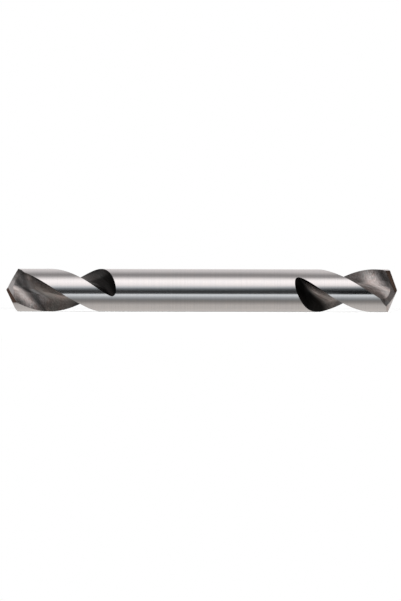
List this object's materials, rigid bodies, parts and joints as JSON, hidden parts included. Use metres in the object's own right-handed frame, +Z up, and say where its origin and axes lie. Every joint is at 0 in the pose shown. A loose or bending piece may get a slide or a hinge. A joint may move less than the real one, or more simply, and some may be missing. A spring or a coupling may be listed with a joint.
{
  "type": "double-ended drill bit",
  "caption": "Short right-hand twist drill with a two-flute cutting point at both ends of one plain round shank.",
  "frame": {"origin": "on the bar's axis, midway between the two points", "axes": "+X along the bar towards the end with the shorter flutes, +Z up"},
  "size_m": [0.084, 0.0092, 0.0092],
  "materials": {
    "ground_steel": "bright ground lands and shank, dull grey-brown ground flutes and points"
  },
  "bodies": {
    "root": {"double_ended_drill_bit": "ground_steel"}
  },
  "joints": []
}
